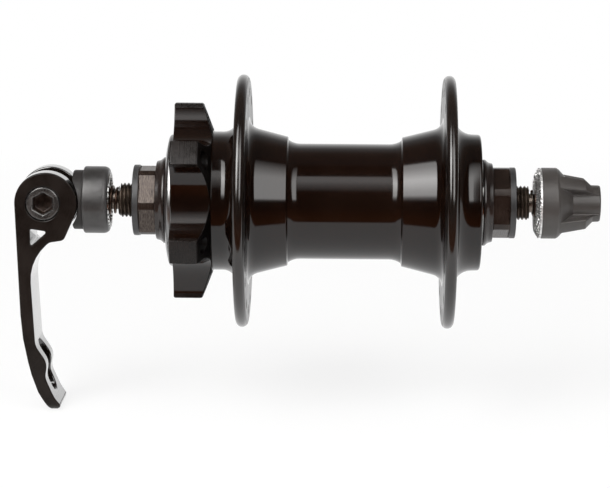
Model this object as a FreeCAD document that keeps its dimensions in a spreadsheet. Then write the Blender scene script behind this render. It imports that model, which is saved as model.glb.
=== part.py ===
import FreeCAD
import Part
import Sketcher
import math
import os

# Front disc hub with its quick-release skewer. The axle lies along X, the disc and the lever are
# on the -X side, the origin is on the axle midway between the locknut faces, and Z is up.

Vector = FreeCAD.Vector
Rotation = FreeCAD.Rotation
Placement = FreeCAD.Placement

doc = FreeCAD.newDocument("DiscHub")
sheet = doc.addObject("Spreadsheet::Sheet", "Sizes")
doc.recompute()


# Sizes. Each one is a cell of the sheet; sums of them keep both their value and their formula.

class Size:
    def __init__(self, value, formula):
        self.value = float(value)
        self.formula = formula

    def __add__(self, other):
        other = as_size(other)
        return Size(self.value + other.value, f"({self.formula} + {other.formula})")

    def __radd__(self, other):
        return as_size(other) + self

    def __sub__(self, other):
        other = as_size(other)
        return Size(self.value - other.value, f"({self.formula} - {other.formula})")

    def __rsub__(self, other):
        return as_size(other) - self

    def __mul__(self, other):
        other = as_size(other)
        return Size(self.value * other.value, f"({self.formula} * {other.formula})")

    def __rmul__(self, other):
        return as_size(other) * self

    def __truediv__(self, other):
        other = as_size(other)
        return Size(self.value / other.value, f"({self.formula} / {other.formula})")

    def __rtruediv__(self, other):
        return as_size(other) / self

    def __neg__(self):
        return Size(-self.value, f"(-1 * {self.formula})")


def as_size(number):
    if isinstance(number, Size):
        return number
    return Size(number, repr(float(number)))


def cosine(angle):
    return Size(math.cos(math.radians(angle.value)), f"cos({angle.formula} * 1 deg)")


def sine(angle):
    return Size(math.sin(math.radians(angle.value)), f"sin({angle.formula} * 1 deg)")


sheet_row = 0


def size(name, value):
    """Put one driving dimension in the next row of the sheet."""
    global sheet_row
    sheet_row += 1
    sheet.set(f"A{sheet_row}", name)
    sheet.set(f"B{sheet_row}", str(value))
    sheet.setAlias(f"B{sheet_row}", name)
    return Size(value, f"Sizes.{name}")


# Overall widths
locknut_width = size("locknut_width", 100)
axle_length = size("axle_length", 108)
axle_dia = size("axle_dia", 9)
axle_chamfer = size("axle_chamfer", 0.6)
rod_dia = size("rod_dia", 5)

# Clearances
seat_gap = size("seat_gap", 0.02)
running_gap = size("running_gap", 0.08)
seal_gap = size("seal_gap", 0.3)
race_gap = size("race_gap", 0.05)
cam_gap = size("cam_gap", 0.3)

# Hub shell
rotor_inset = size("rotor_inset", 10.7)
pilot_dia = size("pilot_dia", 34.8)
pilot_height = size("pilot_height", 1.8)
pilot_wall = size("pilot_wall", 1.3)
lug_margin = size("lug_margin", 3.7)
lug_tip_depth = size("lug_tip_depth", 7.35)
lug_root_depth = size("lug_root_depth", 10.3)
lug_count = size("lug_count", 6)
rotor_bolt_circle = size("rotor_bolt_circle", 44)
rotor_bolt_hole = size("rotor_bolt_hole", 4.2)
valley_step = size("valley_step", 0.3)
valley_radius = size("valley_radius", 11.6)
neck_dia = size("neck_dia", 36.4)
flange_dia = size("flange_dia", 66.3)
flange_thickness = size("flange_thickness", 3)
left_flange = size("left_flange", 21.3)
right_flange = size("right_flange", 32.5)
left_bell_dia = size("left_bell_dia", 39.2)
left_bell_length = size("left_bell_length", 10.2)
right_bell_dia = size("right_bell_dia", 39.3)
right_bell_length = size("right_bell_length", 10.7)
bell_step = size("bell_step", 1.8)
bell_drop = size("bell_drop", 1.05)
bell_blend = size("bell_blend", 2.6)
bell_blend_round = size("bell_blend_round", 6)
barrel_dia = size("barrel_dia", 30.3)
barrel_wall = size("barrel_wall", 4)
root_round = size("root_round", 2.2)
boss_dia = size("boss_dia", 36.2)
boss_end_dia = size("boss_end_dia", 35.6)
boss_inset = size("boss_inset", 9.2)
boss_round = size("boss_round", 0.6)
left_spoke_margin = size("left_spoke_margin", 4.45)
right_spoke_margin = size("right_spoke_margin", 3.85)
spoke_hole = size("spoke_hole", 2.6)
spokes_per_flange = size("spokes_per_flange", 16)
lug_turn = size("lug_turn", 7.5)

# Bearings
ball_dia = size("ball_dia", 4.76)
ball_circle = size("ball_circle", 18)
ball_count = size("ball_count", 10)
ball_inset = size("ball_inset", 12.8)
cup_wall = size("cup_wall", 1.57)
cup_floor = size("cup_floor", 1.4)
cup_floor_lip = size("cup_floor_lip", 0.6)
cup_lip = size("cup_lip", 2.4)
dust_ring_thickness = size("dust_ring_thickness", 0.8)
cone_nose_step = size("cone_nose_step", 0.37)
cone_nose_reach = size("cone_nose_reach", 3.4)
cone_lip = size("cone_lip", 0.3)
boot_wall = size("boot_wall", 2.1)
boot_end_wall = size("boot_end_wall", 1.25)
boot_round = size("boot_round", 0.3)

# Locknuts
lock_washer_dia = size("lock_washer_dia", 16)
lock_washer_thickness = size("lock_washer_thickness", 1)
locknut_flats = size("locknut_flats", 17)
locknut_collar = size("locknut_collar", 0.8)
locknut_hex_depth = size("locknut_hex_depth", 4.3)
locknut_ring_depth = size("locknut_ring_depth", 1.7)
locknut_chamfer = size("locknut_chamfer", 0.3)
left_hex_turn = size("left_hex_turn", 28.5)
right_hex_turn = size("right_hex_turn", 4)

# Cap, cam washer and lever
left_fork_gap = size("left_fork_gap", 6.45)
cap_dia = size("cap_dia", 17.6)
cap_length = size("cap_length", 6.65)
cap_round = size("cap_round", 1.3)
cap_chamfer = size("cap_chamfer", 0.3)
spring_pocket_dia = size("spring_pocket_dia", 12)
spring_pocket_depth = size("spring_pocket_depth", 5)
grip_ring_wall = size("grip_ring_wall", 1.3)
grip_ring_proud = size("grip_ring_proud", 0.3)
grip_ring_seat = size("grip_ring_seat", 1.4)
grip_tooth_depth = size("grip_tooth_depth", 0.5)
grip_teeth = size("grip_teeth", 24)
cam_washer_inset = size("cam_washer_inset", 0.2)
cam_washer_length = size("cam_washer_length", 2.8)
cam_washer_floor = size("cam_washer_floor", 0.95)
cam_seat_radius = size("cam_seat_radius", 10.45)
ear_radius = size("ear_radius", 8.2)
cam_throw = size("cam_throw", 0.75)
lever_width = size("lever_width", 16)
ear_slot = size("ear_slot", 6.2)
ear_slot_round = size("ear_slot_round", 1)
ear_slot_under_pivot = size("ear_slot_under_pivot", 0.75)
pivot_dia = size("pivot_dia", 8.9)
pivot_inset = size("pivot_inset", 0.1)
pivot_chamfer = size("pivot_chamfer", 0.6)
pivot_socket_flats = size("pivot_socket_flats", 5)
pivot_socket_depth = size("pivot_socket_depth", 3)
rod_end_wall = size("rod_end_wall", 1.45)

# Lever arm: drops are from the pivot, rises from the tip, and the rest is out from the pivot's line
arm_length = size("arm_length", 55.7)
arm_tip_outer = size("arm_tip_outer", 1.4)
arm_tip_inner = size("arm_tip_inner", 5.4)
arm_tip_rise = size("arm_tip_rise", 1)
arm_bend_rise = size("arm_bend_rise", 19.7)
arm_bend_outer = size("arm_bend_outer", 6)
arm_bend_inner = size("arm_bend_inner", 2.65)
arm_knee_rise = size("arm_knee_rise", 6)
arm_knee_outer = size("arm_knee_outer", 2.6)
arm_sweep = size("arm_sweep", 62)
arm_flare_rise = size("arm_flare_rise", 3.7)
arm_flare = size("arm_flare", 2.4)
arm_flare_round = size("arm_flare_round", 8)
finger_low_rise = size("finger_low_rise", 9)
finger_low = size("finger_low", 0.1)
finger_top_rise = size("finger_top_rise", 13.9)
finger_top = size("finger_top", 0.75)
finger_start_rise = size("finger_start_rise", 19)
finger_round = size("finger_round", 3.5)
arm_waist_drop = size("arm_waist_drop", 14.9)
arm_waist = size("arm_waist", 3.7)
arm_waist_round = size("arm_waist_round", 12.5)
arm_root_below_ear = size("arm_root_below_ear", 2.1)
arm_root = size("arm_root", 1.6)
arm_root_round = size("arm_root_round", 2)
lobe_reach = size("lobe_reach", 5.4)
lobe_below_ear = size("lobe_below_ear", 1.5)
lobe_round = size("lobe_round", 1.6)
lobe_start_angle = size("lobe_start_angle", 25)
window_web = size("window_web", 1.5)
window_round = size("window_round", 0.4)
window_height = size("window_height", 4.7)
window_outer = size("window_outer", 3.4)
window_width = size("window_width", 4.5)
paddle_slot_width = size("paddle_slot_width", 6.5)
paddle_slot_rise = size("paddle_slot_rise", 11.5)
paddle_slot_length = size("paddle_slot_length", 13)
paddle_corner = size("paddle_corner", 6)
tip_round = size("tip_round", 2)

# Adjusting nut
right_fork_gap = size("right_fork_gap", 5.4)
nut_ring_dish = size("nut_ring_dish", 1.4)
nut_ring_inset = size("nut_ring_inset", 0.1)
nut_ring_face = size("nut_ring_face", 1.5)
nut_ring_spigot = size("nut_ring_spigot", 1.6)
nut_ring_wall = size("nut_ring_wall", 0.8)
nut_flange_dia = size("nut_flange_dia", 18.6)
nut_flange_width = size("nut_flange_width", 4.5)
nut_flange_round = size("nut_flange_round", 0.7)
nut_length = size("nut_length", 15.4)
nut_shoulder_dia = size("nut_shoulder_dia", 17.8)
nut_rib_end_dia = size("nut_rib_end_dia", 15)
nut_rib_end_inset = size("nut_rib_end_inset", 4)
nut_nose_dia = size("nut_nose_dia", 10.8)
nut_nose_inset = size("nut_nose_inset", 2.1)
nut_end_dia = size("nut_end_dia", 9.5)
nut_end_round = size("nut_end_round", 0.7)
nut_core_dia = size("nut_core_dia", 10)
nut_ramp_length = size("nut_ramp_length", 3.6)
nut_rib_count = size("nut_rib_count", 4)
nut_rib_angle = size("nut_rib_angle", 24)
nut_turn = size("nut_turn", -2.5)
nut_recess_depth = size("nut_recess_depth", 3.6)
nut_end_wall = size("nut_end_wall", 1.2)
insert_wall = size("insert_wall", 1.3)
insert_length = size("insert_length", 5)
rod_in_nut = size("rod_in_nut", 10.4)

# Conical springs
spring_wire = size("spring_wire", 0.7)
spring_rod_gap = size("spring_rod_gap", 0.25)
spring_pocket_gap = size("spring_pocket_gap", 0.45)
spring_turns = size("spring_turns", 5)

# Places along the axle, counted from the middle
half_width = locknut_width / 2
rotor_face = half_width - rotor_inset
ball_place = half_width - ball_inset
ball_radius = ball_dia / 2
race_radius = ball_radius + race_gap
ball_track = ball_circle / 2
cup_radius = ball_track + race_radius + cup_wall
cone_radius = ball_track + cone_lip
cup_inner = ball_place - race_radius - cup_floor
cup_outer = ball_place + cup_lip
boot_inner = rotor_face + pilot_height + seal_gap
locknut_inner = half_width - locknut_hex_depth - locknut_ring_depth
cone_end = locknut_inner - lock_washer_thickness
axle_end = axle_length / 2
locknut_radius = locknut_flats / 2 + locknut_collar
spring_pocket = spring_pocket_dia / 2
grip_ring_radius = spring_pocket + grip_ring_wall
threaded_bore = axle_dia / 2 + seat_gap
rod_bore = rod_dia / 2 + running_gap
cap_face = half_width + left_fork_gap
cap_back = cap_face + cap_length
cam_washer_back = cap_back + cam_washer_length
cam_floor = cap_back + cam_washer_floor
cam_washer_dia = lever_width - 2 * cam_washer_inset
ear_centre = cam_floor + cam_gap + ear_radius
pivot_place = ear_centre + cam_throw
nut_face = half_width + right_fork_gap + nut_ring_dish
nut_end = nut_face + nut_length
pivot_length = lever_width - 2 * pivot_inset
rod_grip = pivot_dia / 2 - rod_end_wall
rod_left_end = pivot_place + rod_grip
rod_right_end = nut_face + rod_in_nut
spring_radius_small = rod_dia / 2 + spring_wire / 2 + spring_rod_gap
spring_radius_large = spring_pocket - spring_wire / 2 - spring_pocket_gap


# Sketch and solid helpers

def origin_plane(body, role):
    for feature in body.Origin.OriginFeatures:
        if feature.Role == role:
            return feature


def new_sketch(body, role, name, offset=None):
    """A sketch on one of the body's own origin planes, moved along its normal by offset."""
    sketch = body.newObject("Sketcher::SketchObject", name)
    sketch.AttachmentSupport = (origin_plane(body, role), [""])
    sketch.MapMode = "FlatFace"
    if offset is not None:
        sketch.AttachmentOffset = Placement(Vector(0, 0, offset.value), Rotation())
        sketch.setExpression("AttachmentOffset.Base.z", offset.formula)
    return sketch


def bind(sketch, constraint, amount):
    """Add a constraint whose value is a size, and keep its formula."""
    index = sketch.addConstraint(constraint)
    if "Sizes." in amount.formula:
        sketch.setExpression(f"Constraints[{index}]", amount.formula)


def fix_point(sketch, geometry, end, across, up):
    across = as_size(across)
    up = as_size(up)
    bind(sketch, Sketcher.Constraint("DistanceX", -1, 1, geometry, end, across.value), across)
    bind(sketch, Sketcher.Constraint("DistanceY", -1, 1, geometry, end, up.value), up)


def draw_circle(sketch, across, up, radius):
    across = as_size(across)
    up = as_size(up)
    circle = Part.Circle(Vector(across.value, up.value, 0), Vector(0, 0, 1), radius.value)
    index = sketch.addGeometry(circle, False)
    fix_point(sketch, index, 3, across, up)
    bind(sketch, Sketcher.Constraint("Radius", index, radius.value), radius)


def corner(across, up, rounding=None):
    return {"at": (as_size(across), as_size(up)), "rounding": rounding, "arc": None}


def arc_from(across, up, radius, turn):
    """The stretch from this point to the next is an arc; turn is 1 to the left, -1 to the right."""
    return {"at": (as_size(across), as_size(up)), "rounding": None, "arc": (radius, turn)}


def flat_point(stretch):
    return Vector(stretch["at"][0].value, stretch["at"][1].value, 0)


def arc_between(start, end, radius, turn):
    """An arc under half a turn from start to end, as geometry that runs counterclockwise."""
    chord = end - start
    middle = (start + end) / 2
    left = Vector(-chord.y, chord.x, 0).normalize()
    rise = math.sqrt(max(radius ** 2 - (chord.Length / 2) ** 2, 0))
    centre = middle + left * rise * turn
    first, last = (start, end) if turn > 0 else (end, start)
    begin_angle = math.atan2(first.y - centre.y, first.x - centre.x)
    finish_angle = math.atan2(last.y - centre.y, last.x - centre.x)
    circle = Part.Circle(centre, Vector(0, 0, 1), radius)
    return Part.ArcOfCircle(circle, begin_angle, finish_angle)


def draw_outline(sketch, corners):
    """Draw a closed outline of straight lines, arcs and rounded corners, and fix it to the sizes."""
    count = len(corners)
    points = [flat_point(stretch) for stretch in corners]
    starts = list(points)
    ends = [points[(index + 1) % count] for index in range(count)]
    rounds = {}
    for index in range(count):
        rounding = corners[index]["rounding"]
        if rounding is None:
            continue
        before = (points[index] - points[index - 1]).normalize()
        after = (points[(index + 1) % count] - points[index]).normalize()
        turned = math.atan2(before.x * after.y - before.y * after.x, before.dot(after))
        reach = rounding.value * math.tan(abs(turned) / 2)
        ends[index - 1] = points[index] - before * reach
        starts[index] = points[index] + after * reach
        rounds[index] = 1 if turned > 0 else -1
    stretches = []
    for index in range(count):
        arc = corners[index]["arc"]
        if arc is None:
            line = Part.LineSegment(starts[index], ends[index])
            stretches.append((sketch.addGeometry(line, False), 1, 2))
        else:
            curve = arc_between(starts[index], ends[index], arc[0].value, arc[1])
            begin, finish = (1, 2) if arc[1] > 0 else (2, 1)
            stretches.append((sketch.addGeometry(curve, False), begin, finish))
    for index in range(count):
        geometry, begin, finish = stretches[index]
        previous, previous_begin, previous_finish = stretches[index - 1]
        across, up = corners[index]["at"]
        if index in rounds:
            turn = rounds[index]
            rounding = corners[index]["rounding"]
            curve = arc_between(ends[index - 1], starts[index], rounding.value, turn)
            round_index = sketch.addGeometry(curve, False)
            begin_round, finish_round = (1, 2) if turn > 0 else (2, 1)
            point_index = sketch.addGeometry(Part.Point(points[index]), True)
            tangents = [
                Sketcher.Constraint("Tangent", previous, previous_finish, round_index, begin_round),
                Sketcher.Constraint("Tangent", round_index, finish_round, geometry, begin),
                Sketcher.Constraint("PointOnObject", point_index, 1, previous),
                Sketcher.Constraint("PointOnObject", point_index, 1, geometry),
            ]
            sketch.addConstraint(tangents)
            fix_point(sketch, point_index, 1, across, up)
            bind(sketch, Sketcher.Constraint("Radius", round_index, rounding.value), rounding)
        else:
            joint = Sketcher.Constraint("Coincident", previous, previous_finish, geometry, begin)
            sketch.addConstraint(joint)
            fix_point(sketch, geometry, begin, across, up)
    for index in range(count):
        arc = corners[index]["arc"]
        if arc is not None:
            bind(sketch, Sketcher.Constraint("Radius", stretches[index][0], arc[0].value), arc[0])


bodies = []


def new_body(name):
    body = doc.addObject("PartDesign::Body", name)
    body.Label = name
    bodies.append(body)
    return body


def place(body, right, turn=None):
    """Pieces are drawn on the right-hand side; the left-hand ones are turned about the Z axis."""
    side = Rotation() if right else Rotation(Vector(0, 0, 1), 180)
    spin = Rotation() if turn is None else Rotation(Vector(1, 0, 0), turn.value)
    body.Placement = Placement(Vector(0, 0, 0), side.multiply(spin))


def turn_outline(body, corners, name):
    """Revolve an outline of X and radius about the axle's line."""
    sketch = new_sketch(body, "XZ_Plane", f"{name}_outline")
    draw_outline(sketch, corners)
    solid = body.newObject("PartDesign::Revolution", f"{name}_turned")
    solid.Profile = sketch
    solid.ReferenceAxis = (sketch, ["H_Axis"])
    solid.Angle = 360
    body.Tip = solid
    return solid


def turned_body(name, corners, right=True):
    body = new_body(name)
    turn_outline(body, corners, name)
    place(body, right)
    return body


def ring_corners(inner, outer, bore, radius):
    """A plain ring between two places on the axle."""
    return [corner(inner, bore), corner(outer, bore), corner(outer, radius), corner(inner, radius)]


def pocket(body, sketch, name, depth=None, both=False, reverse=False):
    """Cut a sketch to a depth, or right through where no depth is given."""
    cut = body.newObject("PartDesign::Pocket", name)
    cut.Profile = sketch
    if depth is None:
        cut.Type = "ThroughAll"
    else:
        cut.Type = "Length"
        cut.Length = depth.value
        cut.setExpression("Length", depth.formula)
    cut.Midplane = both
    cut.Reversed = reverse
    body.Tip = cut
    return cut


def around_axle(body, feature, count, name):
    """Repeat a feature about the X axis."""
    pattern = body.newObject("PartDesign::PolarPattern", name)
    pattern.Originals = [feature]
    axis = [item for item in body.Origin.OriginFeatures if item.Role == "X_Axis"][0]
    pattern.Axis = (axis, [""])
    pattern.Angle = 360
    pattern.Occurrences = int(count.value)
    pattern.setExpression("Occurrences", count.formula)
    body.Tip = pattern
    return pattern


def draw_polygon(sketch, sides, radius):
    """A regular polygon about the sketch's origin, with its first corner straight up."""
    corners = []
    for index in range(sides):
        angle = 2 * math.pi * index / sides
        corners.append(corner(radius * math.sin(angle), radius * math.cos(angle)))
    draw_outline(sketch, corners)


# Hub shell: a turned barrel with two spoke flanges, a six-lug rotor mount and two cup seats
def make_hub_shell():
    body = new_body("hub_shell")
    rotor = -rotor_face
    left_near = -left_flange + flange_thickness / 2
    left_far = -left_flange - flange_thickness / 2
    right_near = right_flange - flange_thickness / 2
    right_far = right_flange + flange_thickness / 2
    left_bell_end = left_near + left_bell_length
    right_bell_end = right_near - right_bell_length
    barrel = barrel_dia / 2
    bell_edge = barrel + bell_step
    step_lean = bell_step / 8
    bore = barrel - barrel_wall
    rim = flange_dia / 2
    rim_round = 0.47 * flange_thickness
    lug_tip = rotor_bolt_circle / 2 + lug_margin
    boss_end = half_width - boss_inset
    corners = [
        corner(rotor - pilot_height, cup_radius),
        corner(rotor - pilot_height, cup_radius + pilot_wall),
        corner(rotor, pilot_dia / 2),
        corner(rotor, lug_tip),
        corner(rotor + lug_tip_depth, lug_tip),
        corner(rotor + lug_root_depth, neck_dia / 2),
        corner(left_far, neck_dia / 2, root_round),
        corner(left_far, rim, rim_round),
        corner(left_near, rim, rim_round),
        corner(left_near, left_bell_dia / 2, root_round),
        corner(left_bell_end, bell_edge),
        corner(left_bell_end + step_lean, bell_edge - bell_drop),
        corner(left_bell_end + step_lean + bell_blend, barrel, bell_blend_round),
        corner(right_bell_end - step_lean - bell_blend, barrel, bell_blend_round),
        corner(right_bell_end - step_lean, bell_edge - bell_drop),
        corner(right_bell_end, bell_edge),
        corner(right_near, right_bell_dia / 2, root_round),
        corner(right_near, rim, rim_round),
        corner(right_far, rim, rim_round),
        corner(right_far, boss_dia / 2, root_round),
        corner(boss_end, boss_end_dia / 2, boss_round),
        corner(boss_end, cup_radius),
        corner(cup_inner, cup_radius),
        corner(cup_inner, bore),
        corner(-cup_inner, bore),
        corner(-cup_inner, cup_radius),
    ]
    turn_outline(body, corners, "hub_shell")

    valley = new_sketch(body, "YZ_Plane", "rotor_valley", rotor - pilot_height)
    valley_place = neck_dia / 2 + valley_step + valley_radius
    valley_angle = lug_turn + 180 / lug_count
    valley_across = valley_place * sine(valley_angle)
    valley_up = valley_place * cosine(valley_angle)
    draw_circle(valley, valley_across, valley_up, valley_radius)
    valley_depth = pilot_height + lug_root_depth
    valley_cut = pocket(body, valley, "rotor_valley_cut", valley_depth, reverse=True)
    around_axle(body, valley_cut, lug_count, "rotor_valleys")

    bolt = new_sketch(body, "YZ_Plane", "rotor_bolt", rotor)
    bolt_across = rotor_bolt_circle / 2 * sine(lug_turn)
    bolt_up = rotor_bolt_circle / 2 * cosine(lug_turn)
    draw_circle(bolt, bolt_across, bolt_up, rotor_bolt_hole / 2)
    bolt_cut = pocket(body, bolt, "rotor_bolt_cut", lug_root_depth, reverse=True)
    around_axle(body, bolt_cut, lug_count, "rotor_bolts")

    pitch = 360 / spokes_per_flange
    for name, flange, margin, turn in (
        ("left_spoke", -left_flange, left_spoke_margin, lug_turn),
        ("right_spoke", right_flange, right_spoke_margin, lug_turn + pitch / 2),
    ):
        hole = new_sketch(body, "YZ_Plane", f"{name}_hole", flange - flange_thickness)
        across = (rim - margin) * sine(turn)
        up = (rim - margin) * cosine(turn)
        draw_circle(hole, across, up, spoke_hole / 2)
        hole_cut = pocket(body, hole, f"{name}_cut", 2 * flange_thickness, reverse=True)
        around_axle(body, hole_cut, spokes_per_flange, f"{name}_holes")


# Bearing cup: a hardened ring pressed into the shell, with a quarter-round race for the balls
def make_cup(name, right):
    floor_bore = ball_track - cup_floor_lip
    corners = [
        corner(cup_inner, floor_bore),
        corner(ball_place - race_radius, floor_bore),
        arc_from(ball_place - race_radius, ball_track, race_radius, -1),
        corner(ball_place, ball_track + race_radius),
        corner(cup_outer, ball_track + race_radius),
        corner(cup_outer, cup_radius - seat_gap),
        corner(cup_inner, cup_radius - seat_gap),
    ]
    turned_body(name, corners, right)


# Cone: screwed on the axle, with the balls' inner race facing the cup
def make_cone(name, right):
    groove = ball_track - race_radius
    corners = [
        corner(ball_place - cone_nose_reach, threaded_bore),
        corner(cone_end, threaded_bore),
        corner(cone_end, cone_radius),
        corner(ball_place + race_radius, cone_radius),
        arc_from(ball_place + race_radius, ball_track, race_radius, -1),
        corner(ball_place, groove),
        corner(ball_place - cone_nose_reach, groove - cone_nose_step),
    ]
    turned_body(name, corners, right)


# Balls: loose in the race, evenly spread
def make_balls(name, right):
    balls = []
    side = 1 if right else -1
    for index in range(int(ball_count.value)):
        angle = Size(360 * index / ball_count.value, f"(360 * {index} / Sizes.ball_count)")
        ball = doc.addObject("Part::Sphere", f"{name}_ball")
        ball.setExpression("Radius", ball_radius.formula)
        across = side * ball_place
        front = ball_track * sine(angle)
        up = ball_track * cosine(angle)
        ball.setExpression("Placement.Base.x", across.formula)
        ball.setExpression("Placement.Base.y", front.formula)
        ball.setExpression("Placement.Base.z", up.formula)
        balls.append(ball)
    ring = doc.addObject("Part::Compound", name)
    ring.Label = name
    ring.Links = balls
    bodies.append(ring)


# Dust ring and rubber boot: the ring closes the shell's bore, the boot covers its end from outside
def make_seals(side_name, right):
    ring_bore = cone_radius + seal_gap
    turned_body(
        f"{side_name}_dust_ring",
        ring_corners(cup_outer, cup_outer + dust_ring_thickness, ring_bore, cup_radius - seat_gap),
        right,
    )
    boot_bore = cone_radius + seat_gap
    boot_lip = boot_inner + 0.15 * (locknut_inner - boot_inner)
    corners = [
        corner(boot_inner, boot_bore),
        corner(locknut_inner, boot_bore),
        corner(locknut_inner, cone_radius + boot_end_wall, boot_round),
        corner(boot_lip, cone_radius + boot_wall, boot_round),
        corner(boot_inner, cone_radius + boot_wall - 2 * boot_round),
    ]
    turned_body(f"{side_name}_seal_boot", corners, right)


# Locknut: a hexagon with turned corners, and a round face that bears on the fork end
def make_locknut(name, right, turn):
    body = new_body(name)
    radius = locknut_radius
    corners = [
        corner(locknut_inner, threaded_bore),
        corner(half_width, threaded_bore),
        corner(half_width, radius - locknut_chamfer),
        corner(half_width - locknut_chamfer, radius),
        corner(locknut_inner + locknut_chamfer, radius),
        corner(locknut_inner, radius - locknut_chamfer),
    ]
    turn_outline(body, corners, name)
    flats = new_sketch(body, "YZ_Plane", f"{name}_flats", locknut_inner)
    draw_polygon(flats, 6, locknut_flats / math.sqrt(3))
    draw_circle(flats, 0, 0, 2 * radius)
    pocket(body, flats, f"{name}_flats_cut", locknut_hex_depth, reverse=True)
    place(body, right, turn)


# Axle set
def make_axle_set():
    radius = axle_dia / 2
    turned_body("axle", [
        corner(-axle_end, rod_bore),
        corner(axle_end, rod_bore),
        corner(axle_end, radius - axle_chamfer),
        corner(axle_end - axle_chamfer, radius),
        corner(-axle_end + axle_chamfer, radius),
        corner(-axle_end, radius - axle_chamfer),
    ])
    for side_name, right, turn in (
        ("left", False, left_hex_turn),
        ("right", True, right_hex_turn),
    ):
        make_cup(f"{side_name}_bearing_cup", right)
        make_balls(f"{side_name}_balls", right)
        make_cone(f"{side_name}_cone", right)
        make_seals(side_name, right)
        washer = ring_corners(cone_end, locknut_inner, threaded_bore, lock_washer_dia / 2)
        turned_body(f"{side_name}_lock_washer", washer, right)
        make_locknut(f"{side_name}_locknut", right, turn)


# Skewer rod: a long screw from the lever's pivot barrel to the adjusting nut
def make_skewer_rod():
    radius = rod_dia / 2
    turned_body("skewer_rod", [
        corner(-rod_left_end, 0),
        corner(rod_right_end, 0),
        corner(rod_right_end, radius - axle_chamfer),
        corner(rod_right_end - axle_chamfer, radius),
        corner(-rod_left_end, radius),
    ])


# Pivot barrel: a cross pin through the lever's ears, with a hexagon socket in its end
def make_pivot_barrel():
    body = new_body("pivot_barrel")
    half = pivot_length / 2
    radius = pivot_dia / 2
    sketch = new_sketch(body, "XY_Plane", "pivot_barrel_outline")
    draw_outline(sketch, [
        corner(0, -half),
        corner(radius - pivot_chamfer, -half),
        corner(radius, -half + pivot_chamfer),
        corner(radius, half - pivot_chamfer),
        corner(radius - pivot_chamfer, half),
        corner(0, half),
    ])
    solid = body.newObject("PartDesign::Revolution", "pivot_barrel_turned")
    solid.Profile = sketch
    solid.ReferenceAxis = (sketch, ["V_Axis"])
    solid.Angle = 360
    body.Tip = solid
    socket = new_sketch(body, "XZ_Plane", "pivot_socket", half)
    draw_polygon(socket, 6, pivot_socket_flats / math.sqrt(3))
    pocket(body, socket, "pivot_socket_cut", pivot_socket_depth)
    hole = new_sketch(body, "YZ_Plane", "rod_hole", -rod_grip)
    draw_circle(hole, 0, 0, rod_dia / 2 + seat_gap)
    pocket(body, hole, "rod_hole_cut", rod_grip + pivot_dia, reverse=True)
    body.setExpression("Placement.Base.x", (-pivot_place).formula)


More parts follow.
